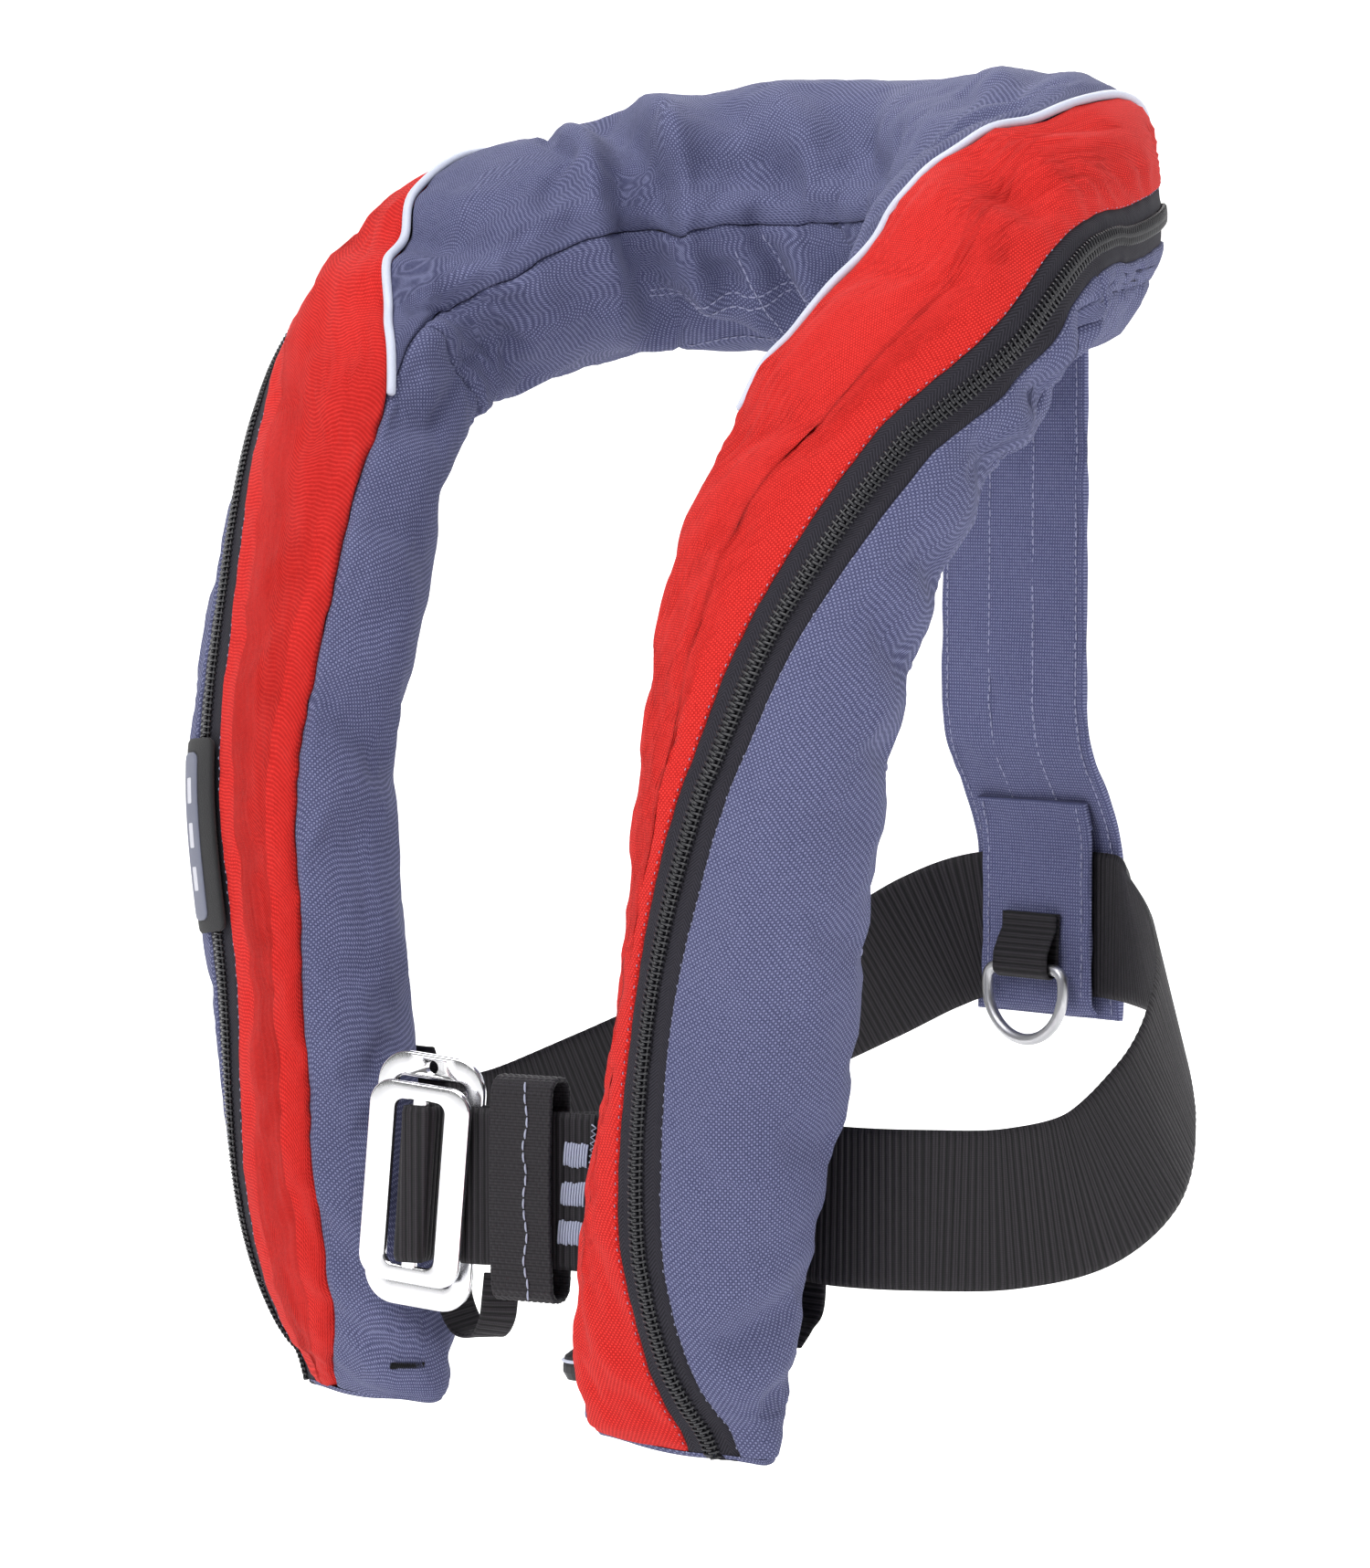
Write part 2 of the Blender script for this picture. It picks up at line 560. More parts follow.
RED = woven("red_fabric", (0.98, 0.045, 0.035), (0.4, 0.005, 0.005), 0.8)
SLATE = woven("slate_fabric", (0.25, 0.265, 0.44), (0.035, 0.038, 0.1), 0.84)
STRAP_CLOTH = woven("slate_fabric_bias", (0.27, 0.285, 0.47), (0.05, 0.055, 0.14), 0.8, radians(45))
TAPE = twill("zip_tape", (0.042, 0.039, 0.052), (0.005, 0.005, 0.008))
COIL = plain("zip_coil", (0.018, 0.018, 0.022), 0.3, Specular_IOR_Level=0.6)
PIPING = plain("reflective_piping", (0.62, 0.66, 0.8), 0.42, 0.25, 0.03, 1600.0, Sheen_Weight=0.2)
THREAD = plain("thread", (0.36, 0.37, 0.55), 0.7, 0.3, 0.04, 2500.0)
PALE_THREAD = plain("pale_thread", (0.45, 0.48, 0.62), 0.7, 0.35, 0.05, 2500.0)
RIB_PITCH = 2.3  # mm
WEBBING = webbing_look("black_webbing", (0.034, 0.029, 0.036), (0.002, 0.002, 0.003), ribs=RIB_PITCH)
BEADED = webbing_look("beaded_webbing", (0.03, 0.026, 0.032), (0.003, 0.003, 0.004))
POLISHED = steel("polished_steel", (0.86, 0.86, 0.88), 0.12)
SATIN = steel("satin_steel", (0.6, 0.6, 0.62), 0.3, 0.1)
ZINC = steel("cylinder_steel", (0.5, 0.52, 0.56), 0.38, 0.1)
BLACK = plain("black_plastic", (0.02, 0.02, 0.023), 0.42, 0.3, 0.03)
YELLOW = plain("yellow_plastic", (0.85, 0.55, 0.02), 0.35, 0.1, 0.02)
BLADDER = plain("bladder_fabric", (0.85, 0.52, 0.02), 0.5, 0.2, 0.05)
VELCRO = plain("hook_tape", (0.012, 0.012, 0.014), 0.95, 0.4, 0.3, 1800.0, Sheen_Weight=0.1)
LABEL = plain("label_rubber", (0.16, 0.17, 0.23), 0.6, 0.15, 0.03)
LABEL_PALE = plain("label_mark", (0.6, 0.6, 0.66), 0.6, 0.1, 0.02)


# ---- Mesh helpers
def new_piece(name, points, faces, mat, body, slot, cloth=None, replaces=()):
    """A mesh that rides on a body. cloth gives each point's distances along and across the fabric."""
    mesh = bpy.data.meshes.new(name)
    mesh.from_pydata(np.asarray(points, float).reshape(-1, 3).tolist(), [], faces)
    mesh.materials.append(mat)
    mesh.shade_smooth()
    if cloth is not None:
        at = mesh.attributes.new("cloth", "FLOAT_VECTOR", "POINT")
        flat = np.zeros((len(mesh.vertices), 3), np.float32)
        flat[:, :2] = np.asarray(cloth, float).reshape(-1, 2)
        at.data.foreach_set("vector", flat.ravel())
    piece = bpy.data.objects.new(name, mesh)
    bpy.context.scene.collection.objects.link(piece)
    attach(piece, body)
    if replaces:
        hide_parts(*replaces)
    return piece


def grid_faces(rows, cols, close_rows=False, close_cols=False, flip=False):
    faces = []
    for r in range(rows if close_rows else rows - 1):
        for c in range(cols if close_cols else cols - 1):
            a, b = r * cols + c, r * cols + (c + 1) % cols
            d, e = (r + 1) % rows * cols + c, (r + 1) % rows * cols + (c + 1) % cols
            faces.append((a, d, e, b) if flip else (a, b, e, d))
    return faces


def capped_faces(rows, cols, flip=False):
    """Faces of rows of points round a closed form, with a face over each end."""
    first, last = tuple(range(cols)), tuple(range((rows - 1) * cols, rows * cols))
    caps = [first, last[::-1]] if flip else [first[::-1], last]
    return grid_faces(rows, cols, close_cols=True, flip=flip) + caps


def cloth_grid(along, across):
    return np.stack(np.broadcast_arrays(along, across), axis=-1)


def run_of(points):
    """Distance along each row of points from the first."""
    steps = np.linalg.norm(np.diff(points, axis=0), axis=-1)
    return np.concatenate([np.zeros((1,) + steps.shape[1:]), np.cumsum(steps, axis=0)])


def resample(path, step, *others):
    """Points at even steps along a path, with other arrays taken along."""
    path = np.asarray(path, float)
    run = run_of(path)
    count = max(2, int(round(run[-1] / step)) + 1)
    at = np.linspace(0, run[-1], count)
    cut = [np.stack([np.interp(at, run, a[:, k]) for k in range(a.shape[1])], axis=1) for a in (path, *others)]
    return (cut[0], at, *cut[1:])


def smooth_path(points, steps=10):
    """A smooth curve through a few points."""
    points = np.asarray(points, float)
    return catmull(points, np.linspace(0, len(points) - 1, (len(points) - 1) * steps + 1))


def tube_mesh(path, radius, sides=12, closed=False, up=(0, 0, 1)):
    """Points and faces of a round tube along a path, with domed ends."""
    path = np.asarray(path, float)
    along = unit(np.roll(path, -1, 0) - np.roll(path, 1, 0)) if closed else unit(np.gradient(path, axis=0))
    side = np.zeros_like(path)
    last = np.cross(along[0], up)
    if np.linalg.norm(last) < 0.1:
        last = np.cross(along[0], (1, 0, 0))
    for k, t in enumerate(along):
        last = unit(last - t * np.dot(last, t))
        side[k] = last
    other = np.cross(along, side)
    radius = np.broadcast_to(radius, len(path))
    if not closed:
        path = np.vstack([path[0] - along[0] * radius[0] * 0.45, path, path[-1] + along[-1] * radius[-1] * 0.45])
        side, other = (np.vstack([a[:1], a, a[-1:]]) for a in (side, other))
        radius = np.concatenate([[radius[0] * 0.55], radius, [radius[-1] * 0.55]])
    a = np.arange(sides) * tau / sides
    ring = (side[:, None] * np.cos(a)[:, None] + other[:, None] * np.sin(a)[:, None]) * radius[:, None, None]
    points = path[:, None] + ring
    faces = grid_faces(len(path), sides, True, True) if closed else capped_faces(len(path), sides)
    return points.reshape(-1, 3), faces


def join(parts):
    """Several (points, faces) as one."""
    points, faces, start = [], [], 0
    for p, f in parts:
        points.append(np.asarray(p).reshape(-1, 3))
        faces += [tuple(i + start for i in face) for face in f]
        start += len(points[-1])
    return np.vstack(points), faces


def stamp(points, faces, places, along, out):
    """One small shape copied to many places: its X runs along, its Z points out."""
    points = np.asarray(points, float)
    along = unit(along - out * np.sum(along * out, axis=1, keepdims=True))
    side = np.cross(out, along)
    moved_points = (places[:, None] + along[:, None] * points[None, :, :1] + side[:, None] * points[None, :, 1:2]
                    + out[:, None] * points[None, :, 2:3])
    base = np.array([len(points) * k for k in range(len(places))])
    all_faces = [tuple(int(b) + i for i in f) for b in base for f in faces]
    return moved_points.reshape(-1, 3), all_faces


def stitch_shape(length=2.3 * MM, thick=0.55 * MM):
    """One stitch: a short thread, arched, with its ends in the cloth."""
    t = np.linspace(-1, 1, 5)
    path = np.stack([t * length / 2, 0 * t, thick * 0.35 * (1 - t ** 2) - thick * 0.25], axis=1)
    return tube_mesh(path, thick / 2 * np.array([0.6, 0.95, 1.0, 0.95, 0.6]), 6, up=(0, 1, 0))


STITCH = stitch_shape()


def stitches(path, normals, pitch=3.2 * MM, shape=STITCH):
    """Stitches along a path on a surface, a little off the line."""
    wander = 0.12 * MM
    centre, _, out = resample(path, pitch, normals)
    out = unit(out)
    along = unit(np.gradient(centre, axis=0))
    centre = centre + np.cross(out, along) * RNG.normal(0, wander, len(centre))[:, None]
    return stamp(*shape, centre, along, out)


# ---- Cover panels
# Distances from a seam at which a panel has points.
EDGE_STEPS = np.array([0, 0.35, 0.8, 1.3, 1.8, 2.3, 2.8, 3.4, 4.2, 5.4, 7.2, 9.6]) * MM


def pucker(u, a, distance):
    """Small wrinkles that cross a seam, strongest beside it."""
    run = np.asarray(u) * PER_STATION
    wave = wave_noise(run, 0.25 * np.asarray(a) * TUBE_RADIUS, 11, 3, 45.0)
    return 0.55 * MM * wave * np.exp(-distance / (9 * MM))


def seam_profile(distance, kind):
    """Height of the cloth beside a seam: it rolls into it, and a row of stitches draws it down."""
    if kind == "zip":
        roll = -1.1 * MM * np.exp(-(distance / (0.55 * MM)) ** 1.3)
        row, deep = 2.0 * MM, 0.1 * MM
    else:
        roll = -1.9 * MM * np.exp(-(distance / (1.3 * MM)) ** 1.2)
        row, deep = 3.0 * MM, 0.12 * MM
    return roll - deep * np.exp(-((distance - row) / (0.6 * MM)) ** 2)


def edge_steps(total):
    return EDGE_STEPS[EDGE_STEPS < total * 0.45]


def shares(total, count):
    """Shares of the way across a panel, closer together by its edges."""
    edge = edge_steps(total) / total
    inner = np.linspace(edge[-1], 1 - edge[-1], max(3, count))[1:-1]
    return np.concatenate([edge, inner, 1 - edge[::-1]])


def panel(name, start, end, low, high, mat, slot, kinds):
    """One piece of the cover, between functions for its edges. kinds are its low, high, start and end edges."""
    step, least_wide = 2.3 * MM, 20 * MM
    middle = np.linspace(start(0.5), end(0.5), 40)
    span = run_of(surface_point(middle, 0.5 * (low(middle) + high(middle))))[-1]
    rows = shares(span, int(span / step))
    wide = np.median(np.linalg.norm(surface_point(middle, low(middle)) - surface_point(middle, high(middle)), axis=1))
    cols = shares(max(wide, least_wide), int(wide * 1.25 / step))
    edge = edge_steps(max(wide, least_wide))
    k = len(edge)
    inner = np.linspace(0, 1, len(cols) - 2 * k + 2)[None, 1:-1]
    # The ends follow the pipings, so the points are laid out again until each lies on its end's line.
    shares_first = shares_final = cols
    for _ in range(4):
        first = np.array([start(v) for v in shares_first])
        final = np.array([end(v) for v in shares_final])
        u = first[None] + (final - first)[None] * rows[:, None]
        lo, hi = low(u), high(u)
        angle = lo + (hi - lo) * cols[None]
        from_low = moved(u[:, :k], lo[:, :k], np.broadcast_to(edge, (len(rows), k)))
        from_high = moved(u[:, -k:], hi[:, -k:], -np.broadcast_to(edge[::-1], (len(rows), k)))
        angle[:, :k], angle[:, -k:] = from_low, from_high
        angle[:, k:-k] = from_low[:, -1:] * (1 - inner) + from_high[:, :1] * inner
        share = (angle - lo) / (hi - lo)
        shares_first, shares_final = share[0], share[-1]
    p, n = surface(u, angle)
    across, along = run_of(p.transpose(1, 0, 2)).T, run_of(p)
    distances = (across, across[:, -1:] - across, along, along[-1:] - along)
    lift = np.zeros(u.shape)
    nearest = np.min([d for d, kind in zip(distances, kinds) if kind == "sewn"], axis=0)
    for d, kind in zip(distances, kinds):
        lift += seam_profile(d, kind)
    lift += pucker(u, angle, nearest) * np.clip(nearest / (1.5 * MM), 0, 1)
    lift += wave_noise(along, across, 23, 3, 30.0) * 0.22 * MM
    p = p + n * lift[..., None]
    # A skirt goes down into the tube from every edge.
    skirt = 3.0 * MM
    p, n, cloth = (np.pad(v, ((1, 1), (1, 1), (0, 0)), "edge") for v in (p, n, np.stack([along, across], axis=-1)))
    for side, way in ((np.s_[:, 0], (0, -1)), (np.s_[:, -1], (0, 1)), (np.s_[0], (-1, 0)), (np.s_[-1], (1, 0))):
        p[side] -= n[side] * skirt
        cloth[side] += np.array(way) * skirt
    r, c = p.shape[:2]
    i, j = r // 2, c // 2
    inward = np.dot(np.cross(p[i, j + 1] - p[i, j], p[i + 1, j] - p[i, j]), n[i, j]) < 0
    piece = new_piece("new_" + name, p, grid_faces(r, c, flip=inward), mat, "cover", slot, cloth, (name,))


def low_zip(u):
    return zip_at(u, -TO_ZIP)


def high_zip(u):
    return zip_at(u, TO_ZIP)


def at_station(u):
    return lambda v: float(u)


def at_piping(side, gap):
    return lambda v: piping_station(v, side) + gap


def build_cover():
    gap, pipe, butt = 0.3 * MM, 0.03, 0.003
    sewn = ("sewn",) * 4

    def seam_low(u):
        return body_seam(u, -gap / 2)

    def seam_high(u):
        return body_seam(u, gap / 2)

    def lining_high(u):
        return neck_seam(u, -gap) + tau

    front = (neck_seam, low_zip, ("sewn", "zip", "sewn", "sewn"))
    outer = (high_zip, seam_low, ("zip", "sewn", "sewn", "sewn"))
    body = (seam_high, lining_high, sewn)
    foot_left, foot_right = at_station(0.0), at_station(LAST)
    for name, start, end, (low, high, kinds) in (
            ("front_panel_left", foot_left, at_piping(1, -pipe), front),
            ("front_panel_right", at_piping(-1, pipe), foot_right, front),
            ("collar_cover", at_piping(1, pipe), at_piping(-1, -pipe), front),
            ("outer_panel_left", foot_left, at_station(SHOULDER_SEAM - butt), outer),
            ("collar_back_panel", at_station(SHOULDER_SEAM + butt), at_station(LAST - SHOULDER_SEAM - butt), outer),
            ("outer_panel_right", at_station(LAST - SHOULDER_SEAM + butt), foot_right, outer),
            ("body_panel_left", foot_left, at_station(LINING_SEAM - butt), body),
            ("collar_lining", at_station(LINING_SEAM + butt), at_station(LAST - LINING_SEAM - butt), body),
            ("body_panel_right", at_station(LAST - LINING_SEAM + butt), foot_right, body)):
        look = (RED, "red_fabric") if name.startswith("front") else (SLATE, "slate_fabric")
        panel(name, start, end, low, high, *look, kinds)


def build_backing():
    """The dark inner layer that shows where panels meet, closed at both ends."""
    rows, cols, depth = 300, 60, 4.2 * MM
    u = np.linspace(0.02, LAST - 0.02, rows)[:, None]
    a = (np.arange(cols) * tau / cols)[None]
    cloth = cloth_grid(u * PER_STATION, a * TUBE_RADIUS)
    new_piece("cover_backing", surface_point(u, a, depth), capped_faces(rows, cols), TAPE, "cover", "zip_tape", cloth)


def build_hems():
    """The closed bottom edge of each lobe, with its turned edge."""
    cols = 72
    for name, u, sign in (("hem_left", 0.0, -1), ("hem_right", float(LAST), 1)):
        a = np.arange(cols) * tau / cols
        rings = []
        centre = skin(u, a).mean(axis=0)
        down = unit(skin(u, 0.0) - skin(u - sign * 0.2, 0.0))
        for depth, drop in ((0.6, -1.5), (0.9, 0.4), (2.2, 1.2), (4.0, 0.2), (6.5, -2.5), (9.0, -3.5)):
            p, _ = surface(u, a, depth * MM)
            toward = centre - p
            rings.append(p + toward * (depth / 60) + down * (drop * MM + 0.5 * MM * np.sin(5 * a)[:, None]))
        rings.append(np.broadcast_to(centre - down * 3.5 * MM, rings[0].shape))
        p = np.array(rings)
        cloth = cloth_grid(np.arange(len(p))[:, None] * 2 * MM, a[None] * 30 * MM)
        faces = grid_faces(len(p), cols, close_cols=True, flip=sign > 0)
        new_piece("new_" + name, p, faces, SLATE, "cover", "slate_fabric", cloth, (name,))


# ---- Zip
def build_zip():
    """The two tapes, and separate teeth in two rows between their cords."""
    us, length = even_stations(520)
    for node, sign in (("zip_tape_front", -1), ("zip_tape_rear", 1)):
        offsets = np.array([0.1, 1.2, 2.4, 3.2, 4.2, 5.5, 7.0, 8.5, 10.4]) * MM * sign
        heights = np.array([-0.9, -0.8, -0.7, -0.85, -1.0, -1.0, -0.9, -1.0, -1.6]) * MM
        u = np.repeat(us[:, None], len(offsets), axis=1)
        p, n = surface(u, zip_at(u, offsets[None]))
        ripple = wave_noise(u * PER_STATION, offsets[None] + 0 * u, 5, 3, 60.0) * 0.12 * MM
        top = p + n * (heights[None] + ripple)[..., None]
        rows, cols = u.shape
        both = np.concatenate([top, (top - n * 0.8 * MM)[:, ::-1]], axis=1)
        cloth = cloth_grid(np.linspace(0, length, rows)[:, None], np.concatenate([offsets, offsets[::-1]])[None])
        faces = grid_faces(rows, 2 * cols, close_cols=True, flip=sign < 0)
        faces += [tuple(range(2 * cols)), tuple((rows - 1) * 2 * cols + k for k in reversed(range(2 * cols)))]
        new_piece("new_" + node, both, faces, TAPE, "cover", "zip_tape", cloth, (node,))
    dense = np.linspace(0.03, LAST - 0.03, 3000)
    p, n = surface(dense, zip_at(dense))
    pitch, sunk = 2.0 * MM, 0.3 * MM
    centre, _, out = resample(p, pitch, n)
    out, along = unit(out), unit(np.gradient(centre, axis=0))
    side = np.cross(out, along)
    t = np.array([0.55, 0.3, -0.4, -1.3, -2.2, -2.75, -2.7]) * MM
    rise = np.array([0.45, 0.75, 0.8, 0.8, 0.72, 0.35, -0.5]) * MM
    lean = np.array([0.0, 0.0, 0.05, 0.15, 0.3, 0.42, 0.5]) * MM
    thick = np.array([0.42, 0.56, 0.46, 0.42, 0.42, 0.42, 0.36]) * MM
    left = tube_mesh(np.stack([lean, t, rise], axis=1), thick, 8)
    right = tube_mesh(np.stack([lean, -t, rise], axis=1), thick, 8)
    parts = [stamp(*left, centre - out * sunk, along, out),
             stamp(*right, centre[:-1] + along[:-1] * pitch / 2 - out[:-1] * sunk, along[:-1], out[:-1])]
    for offset in (-1.55, 1.55):
        parts.append(tube_mesh(centre + side * offset * MM - out * 0.35 * MM, 0.42 * MM, 6))
    new_piece("new_zip_coil", *join(parts), COIL, "cover", "zip_coil", None, ("zip_coil",))


def build_piping():
    rise, radius = 0.35 * MM, 1.55 * MM
    for name, side in (("piping_left", 1), ("piping_right", -1)):
        v = np.linspace(0.0, 1.0, 90)
        u = piping_station(v, side)
        low, high = neck_seam(u), low_zip(u)
        p, n = surface(u, low + (high - low) * v)
        path = p + n * rise
        for _ in range(6):
            path[1:-1] = 0.5 * path[1:-1] + 0.25 * (path[:-2] + path[2:])
        new_piece("new_" + name, *tube_mesh(path, radius), PIPING, "cover", "reflective_piping", None, (name,))


def seam_row(u, angle, distance, kind="sewn", lift=0.12 * MM):
    """Points and normals on the cloth at this distance beside a seam."""
    p, n = surface(u, angle)
    drawn = pucker(u, angle, distance) if kind == "sewn" else 0.0
    height = seam_profile(np.array(distance), kind) + drawn + lift
    return p + n * np.broadcast_to(height, np.shape(u))[..., None], n


def build_stitching():
    grey = []
    us = np.linspace(0.05, LAST - 0.05, 900)
    tick = stitch_shape(0.8 * MM, 0.32 * MM)
    beside = 0.45 * MM
    for side in (-1, 1):
        line = seam_row(us, zip_at(us, side * (TO_ZIP + beside)), beside, "zip", 0.22 * MM)
        grey.append(stitches(*line, 3.4 * MM, tick))
    from_seam = 3.0 * MM
    for low, high in ((0.3, 6.0), (LAST - 6.0, LAST - 0.3)):
        u = us[(us > low) & (us < high)]
        grey.append(stitches(*seam_row(u, body_seam(u, from_seam), from_seam)))
    # Rows across the collar's lining: from station and to station, from angle and to angle.
    for u0, u1, a0, a1 in ((12.0, 11.7, -8, -70), (12.25, 11.95, -14, -74), (13.3, 9.4, -34, -48),
                           (13.3, 9.4, -40, -54), (12.9, 10.2, -78, -84), (10.4, 10.2, -8, -70)):
        t = np.linspace(0, 1, 60)
        u, a = u0 + (u1 - u0) * t, np.radians(a0 + (a1 - a0) * t + 4 * np.sin(t * pi))
        p, n = surface(u, a)
        grey.append(stitches(p + n * 0.2 * MM, n))
    # A dark zigzag tack near the foot of the right lobe.
    count, station = 44, 21.37
    a = np.radians(np.linspace(46, 14, count))
    p, n = surface(np.full(count, station), a)
    wave = np.where(np.arange(count) % 2 == 0, 1, -1)[:, None] * 0.8 * MM
    along = unit(surface_point(21.5, a) - surface_point(21.3, a))
    tack = tube_mesh(p + n * 0.9 * MM + along * wave, 0.4 * MM, 6)
    new_piece("stitches_slate", *join(grey), THREAD, "cover", "slate_fabric")
    new_piece("stitches_dark", *join([tack]), WEBBING, "cover", "black_webbing")


build_cover()
build_backing()
build_hems()
build_zip()
build_piping()
build_stitching()


# ---- Webbing
def ribbon(name, path, across, width, thick, mat, body, slot, replaces, rib=0.38 * MM, step=0.45 * MM,
           closed=False, n_across=14, texture=None, smooth=2):
    """Webbing along a path: round selvedges, and ribs that cross it."""
    path = np.asarray(path, float)
    across = np.broadcast_to(np.asarray(across, float), path.shape)
    if closed:
        path, across = np.vstack([path, path[:1]]), np.vstack([across, across[:1]])
    p, s, wide = resample(path, step, across)
    if closed:
        p, s, wide = p[:-1], s[:-1], wide[:-1]
    for _ in range(smooth):
        q = 0.5 * p + 0.25 * (np.roll(p, 1, 0) + np.roll(p, -1, 0))
        p = q if closed else np.vstack([p[:1], q[1:-1], p[-1:]])
    forward = unit(np.roll(p, -1, 0) - np.roll(p, 1, 0)) if closed else unit(np.gradient(p, axis=0))
    wide = unit(wide - forward * np.sum(wide * forward, axis=1, keepdims=True))
    face = np.cross(forward, wide)
    t = np.sin(np.linspace(-pi / 2, pi / 2, n_across))
    t = 0.55 * t + 0.45 * np.linspace(-1, 1, n_across)
    past = (np.abs(t) * width / 2 - (width / 2 - thick / 2)).clip(0)
    body_half = np.sqrt(np.clip(1 - (past / (thick / 2)) ** 2, 0.02, 1))
    selvedge = 1.2 * MM
    inset = np.clip((width / 2 * (1 - np.abs(t)) - selvedge) / (1.0 * MM), 0, 1)
    if texture is None:
        relief = rib * (np.abs(np.sin(pi * s / (RIB_PITCH * MM)))[:, None] - 1) * inset[None]
    else:
        relief = texture(s[:, None], t[None] * width / 2)
    top = p[:, None] + wide[:, None] * (t * width / 2)[None, :, None]
    up = face[:, None] * (body_half[None] * thick / 2 + relief)[..., None]
    points = np.concatenate([top + up, (top - up)[:, ::-1]], axis=1)
    rows, cols = points.shape[:2]
    cloth = cloth_grid(s[:, None], (np.concatenate([t, t[::-1]]) * width / 2)[None])
    faces = grid_faces(rows, cols, True, True, True) if closed else capped_faces(rows, cols, flip=True)
    piece = new_piece(name, points, faces, mat, body, slot, cloth, replaces)
    return piece, p, s, wide, face


# The buckle, turned 18 degrees to the left and leaning back. Its sizes are in mm.
BUCKLE_AT = Vector((-22 * MM, -210.5 * MM, -267 * MM))
BUCKLE_LEAN = radians(5)
LEVEL = Matrix.Rotation(radians(18), 4, "Z") @ Matrix.Rotation(radians(90), 4, "X")
BUCKLE = Matrix.Translation(BUCKLE_AT) @ LEVEL @ Matrix.Rotation(-BUCKLE_LEAN, 4, "Z")
BUCKLE_TURN = np.array(BUCKLE.to_3x3())
FRAME_SIZE, FRAME_WINDOW, FRAME_HOLE = (39, 82), (25.5, 65.5), (2.3, 36.8)
PLATE_SIZE, PLATE_SLOT, PLATE_BAR = (36.5, 64.5), (6.4, 53), 5.0
METAL, PLATE_FORWARD, FRAME_PLAY, PLATE_PLAY = 2.4, 6.6, 0.8, 0.6
BELT_WIDTH, BELT_THICK = 50 * MM, 1.8 * MM
# The belt's middle line in mm, from the left lobe round the back and from there to the buckle.
BELT_LEFT = (
    (62, -166, -265), (84, -161, -266), (110, -159, -267), (135, -147, -267), (152, -124, -267),
    (160, -95, -262), (157, -64, -246), (139, -33, -227), (108, 0, -212), (73, 31, -204), (46, 52, -201),
    (27, 59.6, -200), (0, 60, -201))
BELT_RIGHT = (
    (-27, 59.6, -203), (-44, 51, -210), (-64, 35, -224), (-98, 10, -244), (-132, -20, -264), (-154, -52, -278),
    (-160, -88, -281), (-150, -124, -279), (-132, -149, -276), (-110, -159, -274), (-86, -161, -272),
    (-64, -164, -270), (-47.5, -169.5, -268.5), (-36.5, -181, -267), (-29, -194, -267))
BELT_TAIL = ((-32.2, -195.5), (-37.0, -187))
BELT_LEAN = 0.25


def at_buckle(x, z, y=0.0):
    """A point across the buckle, out of its face and up it, in mm. The belt runs level, though the buckle leans."""
    return np.array(BUCKLE @ Vector((x * MM, (y + x * tan(BUCKLE_LEAN)) * MM, z * MM)))


def arc(centre, radius, start, end, count):
    return [at_buckle(centre[0] + radius * cos(radians(a)), centre[1] + radius * sin(radians(a)))
            for a in np.linspace(start, end, count)]


def build_belt():
    """The belt: folded round the frame's side, round the body, and over the plate's bar."""
    half_gap = METAL / 2 + FRAME_PLAY + BELT_THICK / MM / 2
    plate_half = METAL / 2 + PLATE_PLAY + BELT_THICK / MM / 2
    bar_at = (FRAME_SIZE[0] + FRAME_WINDOW[0]) / 4
    bar_half = (FRAME_SIZE[0] - FRAME_WINDOW[0]) / 4
    front = [at_buckle(62, 1.3), at_buckle(46, 1.35), at_buckle(30, 1.4),
             at_buckle(bar_at + bar_half + 3, half_gap), at_buckle(bar_at, half_gap)]
    turn = arc((bar_at - bar_half + 0.3, 0), half_gap, 90, 270, 25)
    back = [at_buckle(bar_at + 1, -half_gap), at_buckle(bar_at + bar_half + 4, -half_gap),
            at_buckle(30, -1.4), at_buckle(46, -1.7), at_buckle(56, -3.4)]
    round_body = [np.array(p) * MM for p in BELT_LEFT + BELT_RIGHT] + [at_buckle(2.6, -5.0)]
    wrap = PLATE_BAR / 2 - 0.3
    up = [at_buckle(wrap + plate_half, 1.0)]
    over = (arc((wrap, PLATE_FORWARD), plate_half, 0, 90, 13) + arc((-wrap, PLATE_FORWARD), plate_half, 90, 180, 13))
    tail = [at_buckle(-wrap - plate_half, 1.0), at_buckle(-1.6, -5.0)]
    tail += [np.array((x, y, BELT_RIGHT[-1][2])) * MM for x, y in BELT_TAIL]
    path = np.vstack([smooth_path(front), turn, smooth_path(back + round_body), up, over, smooth_path(tail)])
    upright = BUCKLE_TURN[:, 1]
    middle = np.array((0, -75 * MM, 0))
    away = np.minimum(1.0, np.linalg.norm(path - np.array(BUCKLE_AT), axis=1) / 0.08)[:, None]
    outward_flat = unit((path - middle) * (1, 1, 0))
    lean = BELT_LEAN * np.clip((np.abs(path[:, :1]) / MM - 35) / 30, 0, 1) * soft_step((path[:, 1:2] + 0.14) / 0.08)
    across = upright * (1 - away) + ((0, 0, 1.0) - outward_flat * lean) * away
    ribbon("new_waist_belt", path, across, BELT_WIDTH, BELT_THICK, WEBBING, "cover", "black_webbing", ("waist_belt",),
           smooth=3)


